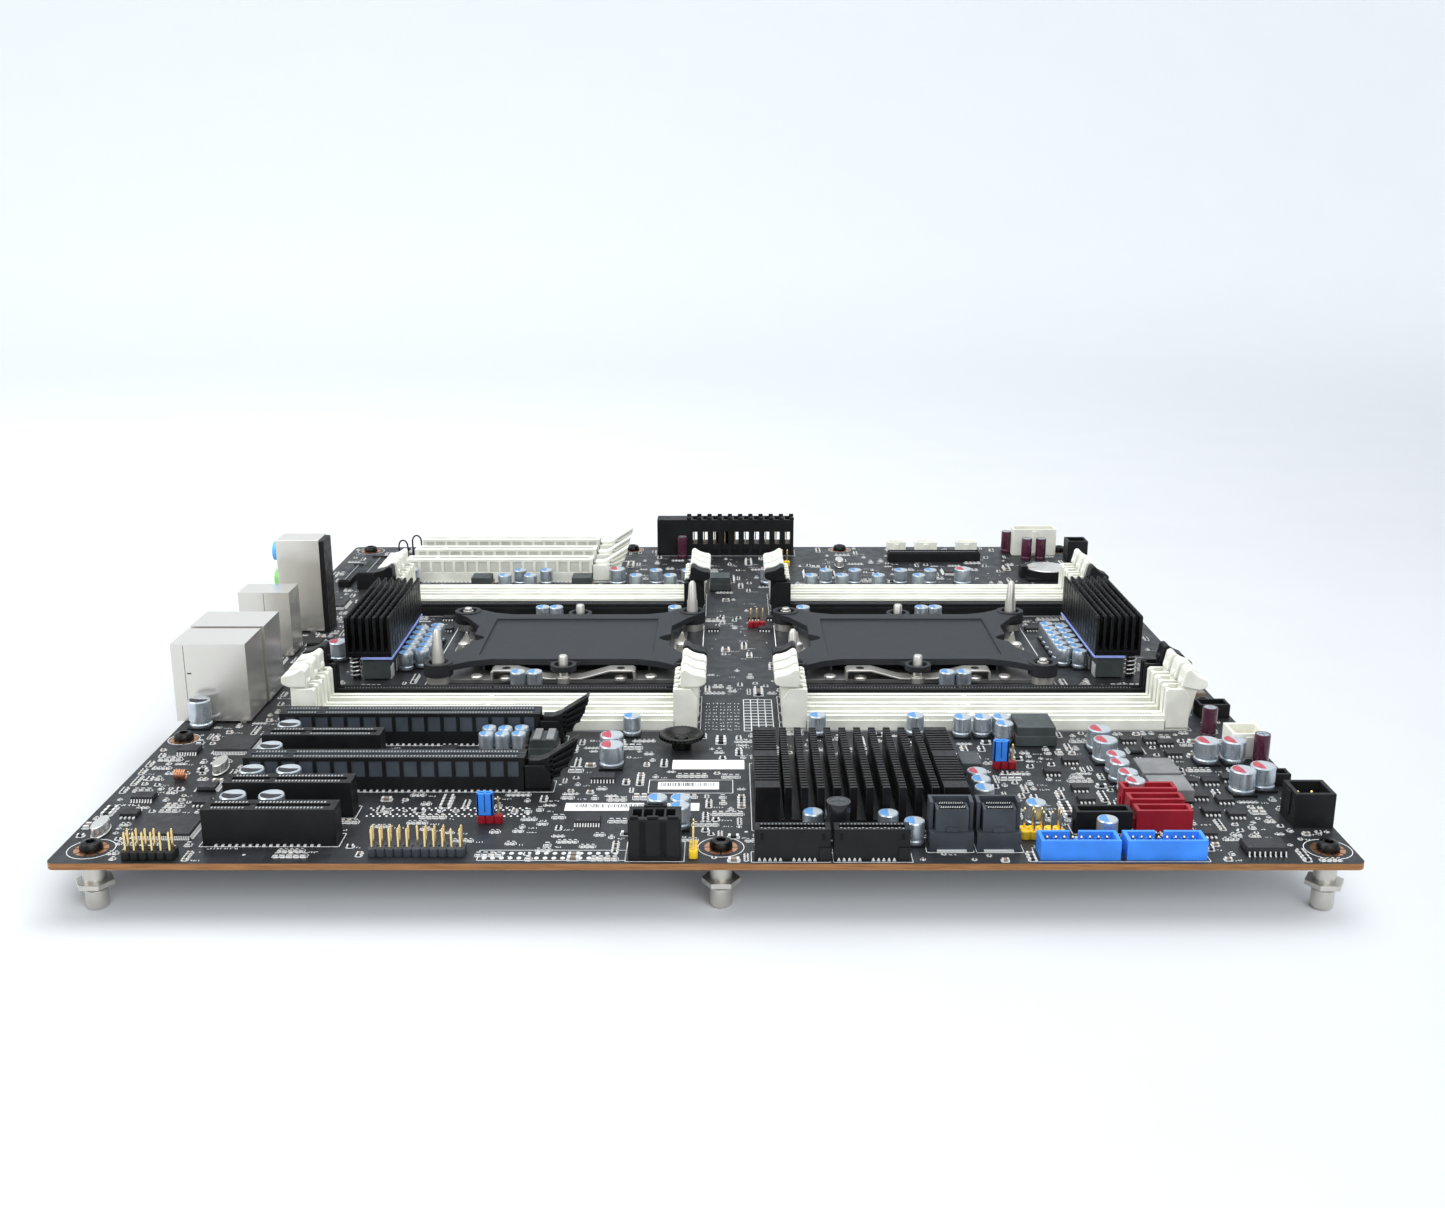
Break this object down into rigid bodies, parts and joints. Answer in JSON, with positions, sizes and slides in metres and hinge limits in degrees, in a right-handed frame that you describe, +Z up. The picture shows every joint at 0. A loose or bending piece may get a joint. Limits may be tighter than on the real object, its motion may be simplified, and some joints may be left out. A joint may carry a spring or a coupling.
{
  "type": "computer motherboard",
  "caption": "Dual-processor workstation motherboard with latched memory banks, card slots with thumb latches, heatsinks, rear port stacks, drive connectors and standoffs.",
  "frame": {"origin": "on the plane the standoff feet stand on, under the middle of the whole object", "axes": "+Z up off the board, +X along the expansion slots away from the rear ports, +Y from the drive-connector edge to the main power edge"},
  "size_m": [0.3774, 0.38, 0.0588],
  "materials": {
    "board_laminate": "near-black solder mask with white print and a brown laminate edge",
    "black_plastic": "fine moulded grain",
    "grey_plastic": "fine moulded grain",
    "white_plastic": "smooth ivory moulding",
    "blue_plastic": "smooth moulding",
    "red_plastic": "smooth moulding",
    "black_aluminium": "black anodised, satin",
    "bright_steel": "bright drawn sheet",
    "nickel_plate": "bright nickel plating"
  },
  "bodies": {
    "board": {"circuit_board": "board_laminate", "standoff_front_left": "nickel_plate", "standoff_front_middle": "nickel_plate", "standoff_front_right": "nickel_plate", "standoff_back_left": "nickel_plate", "standoff_back_right": "nickel_plate", "expansion_slot_1": "black_plastic", "expansion_slot_2": "black_plastic", "expansion_slot_3": "black_plastic", "expansion_slot_4": "black_plastic", "expansion_slot_5": "black_plastic", "expansion_slot_6": "white_plastic", "expansion_slot_7": "white_plastic", "expansion_slot_8": "white_plastic", "memory_bank_1": "white_plastic", "memory_bank_2": "white_plastic", "memory_bank_3": "white_plastic", "memory_bank_4": "white_plastic", "loading_frame_1": "bright_steel", "processor_socket_1": "black_plastic", "regulator_heatsink_1": "black_aluminium", "loading_frame_2": "bright_steel", "processor_socket_2": "black_plastic", "regulator_heatsink_2": "black_aluminium", "chipset_heatsink": "black_aluminium", "network_port_1": "bright_steel", "network_port_2": "bright_steel", "usb_port_stack": "bright_steel", "audio_jack_stack": "bright_steel", "main_power_connector": "black_plastic", "four_pin_power_header": "black_plastic", "side_power_header": "black_plastic", "storage_connector_1": "black_plastic", "storage_connector_2": "black_plastic", "drive_port_black": "black_plastic", "cable_port_1": "grey_plastic", "cable_port_2": "grey_plastic", "drive_port_red_1": "red_plastic", "drive_port_red_2": "red_plastic", "drive_port_red_3": "red_plastic", "usb_header_1": "blue_plastic", "usb_header_2": "blue_plastic"},
    "slot_latch_3": {"slot_latch_3": "black_plastic"},
    "slot_latch_5": {"slot_latch_5": "black_plastic"},
    "slot_latch_6": {"slot_latch_6": "white_plastic"},
    "slot_latch_7": {"slot_latch_7": "white_plastic"},
    "slot_latch_8": {"slot_latch_8": "white_plastic"},
    "memory_catches_1_left": {"memory_catches_1_left": "white_plastic"},
    "memory_catches_1_right": {"memory_catches_1_right": "white_plastic"},
    "memory_catches_2_left": {"memory_catches_2_left": "white_plastic"},
    "memory_catches_2_right": {"memory_catches_2_right": "white_plastic"},
    "memory_catches_3_left": {"memory_catches_3_left": "white_plastic"},
    "memory_catches_3_right": {"memory_catches_3_right": "white_plastic"},
    "memory_catches_4_left": {"memory_catches_4_left": "white_plastic"},
    "memory_catches_4_right": {"memory_catches_4_right": "white_plastic"},
    "dust_cover_1": {"dust_cover_1": "black_plastic"},
    "dust_cover_2": {"dust_cover_2": "black_plastic"},
    "jumper_cap_1": {"jumper_cap_1": "blue_plastic"},
    "jumper_cap_2": {"jumper_cap_2": "blue_plastic"},
    "tray_hand_screw": {"tray_hand_screw": "black_aluminium"}
  },
  "joints": [
    {"name": "slot_latch_3_press", "type": "hinge", "parent": "board", "child": "slot_latch_3", "pos_m": [-0.05275, -0.13346, 0.0228], "axis": [0, 1, 0], "range_deg": [0, 20]},
    {"name": "slot_latch_5_press", "type": "hinge", "parent": "board", "child": "slot_latch_5", "pos_m": [-0.05275, -0.09282, 0.0228], "axis": [0, 1, 0], "range_deg": [0, 20]},
    {"name": "slot_latch_6_press", "type": "hinge", "parent": "board", "child": "slot_latch_6", "pos_m": [-0.05275, 0.1225, 0.0228], "axis": [0, 1, 0], "range_deg": [0, 20]},
    {"name": "slot_latch_7_press", "type": "hinge", "parent": "board", "child": "slot_latch_7", "pos_m": [-0.05275, 0.14282, 0.0228], "axis": [0, 1, 0], "range_deg": [0, 20]},
    {"name": "slot_latch_8_press", "type": "hinge", "parent": "board", "child": "slot_latch_8", "pos_m": [-0.05275, 0.16314, 0.0228], "axis": [0, 1, 0], "range_deg": [0, 20]},
    {"name": "memory_catches_1_left_open", "type": "hinge", "parent": "board", "child": "memory_catches_1_left", "pos_m": [-0.14185, -0.0649, 0.0226], "axis": [0, -1, 0], "range_deg": [0, 24]},
    {"name": "memory_catches_1_right_open", "type": "hinge", "parent": "board", "child": "memory_catches_1_right", "pos_m": [-0.00655, -0.0649, 0.0226], "axis": [0, 1, 0], "range_deg": [0, 24]},
    {"name": "memory_catches_2_left_open", "type": "hinge", "parent": "board", "child": "memory_catches_2_left", "pos_m": [0.03045, -0.0649, 0.0226], "axis": [0, -1, 0], "range_deg": [0, 24]},
    {"name": "memory_catches_2_right_open", "type": "hinge", "parent": "board", "child": "memory_catches_2_right", "pos_m": [0.16575, -0.0649, 0.0226], "axis": [0, 1, 0], "range_deg": [-12, 12]},
    {"name": "memory_catches_3_left_open", "type": "hinge", "parent": "board", "child": "memory_catches_3_left", "pos_m": [-0.14185, 0.0787, 0.0226], "axis": [0, -1, 0], "range_deg": [0, 24]},
    {"name": "memory_catches_3_right_open", "type": "hinge", "parent": "board", "child": "memory_catches_3_right", "pos_m": [-0.00655, 0.0787, 0.0226], "axis": [0, 1, 0], "range_deg": [0, 24]},
    {"name": "memory_catches_4_left_open", "type": "hinge", "parent": "board", "child": "memory_catches_4_left", "pos_m": [0.03045, 0.0787, 0.0226], "axis": [0, -1, 0], "range_deg": [0, 24]},
    {"name": "memory_catches_4_right_open", "type": "hinge", "parent": "board", "child": "memory_catches_4_right", "pos_m": [0.16575, 0.0787, 0.0226], "axis": [0, 1, 0], "range_deg": [-12, 12]},
    {"name": "dust_cover_1_lift", "type": "slide", "parent": "board", "child": "dust_cover_1", "axis": [0, 0, 1], "range_m": [0, 0.06]},
    {"name": "dust_cover_2_lift", "type": "slide", "parent": "board", "child": "dust_cover_2", "axis": [0, 0, 1], "range_m": [0, 0.06]},
    {"name": "tray_hand_screw_turn", "type": "hinge", "parent": "board", "child": "tray_hand_screw", "pos_m": [-0.00815, -0.0995, 0.0214], "axis": [0, 0, 1], "continuous": true},
    {"name": "jumper_cap_1_pull", "type": "slide", "parent": "board", "child": "jumper_cap_1", "axis": [0, 0, 1], "range_m": [0, 0.02]},
    {"name": "jumper_cap_2_pull", "type": "slide", "parent": "board", "child": "jumper_cap_2", "axis": [0, 0, 1], "range_m": [0, 0.02]}
  ]
}
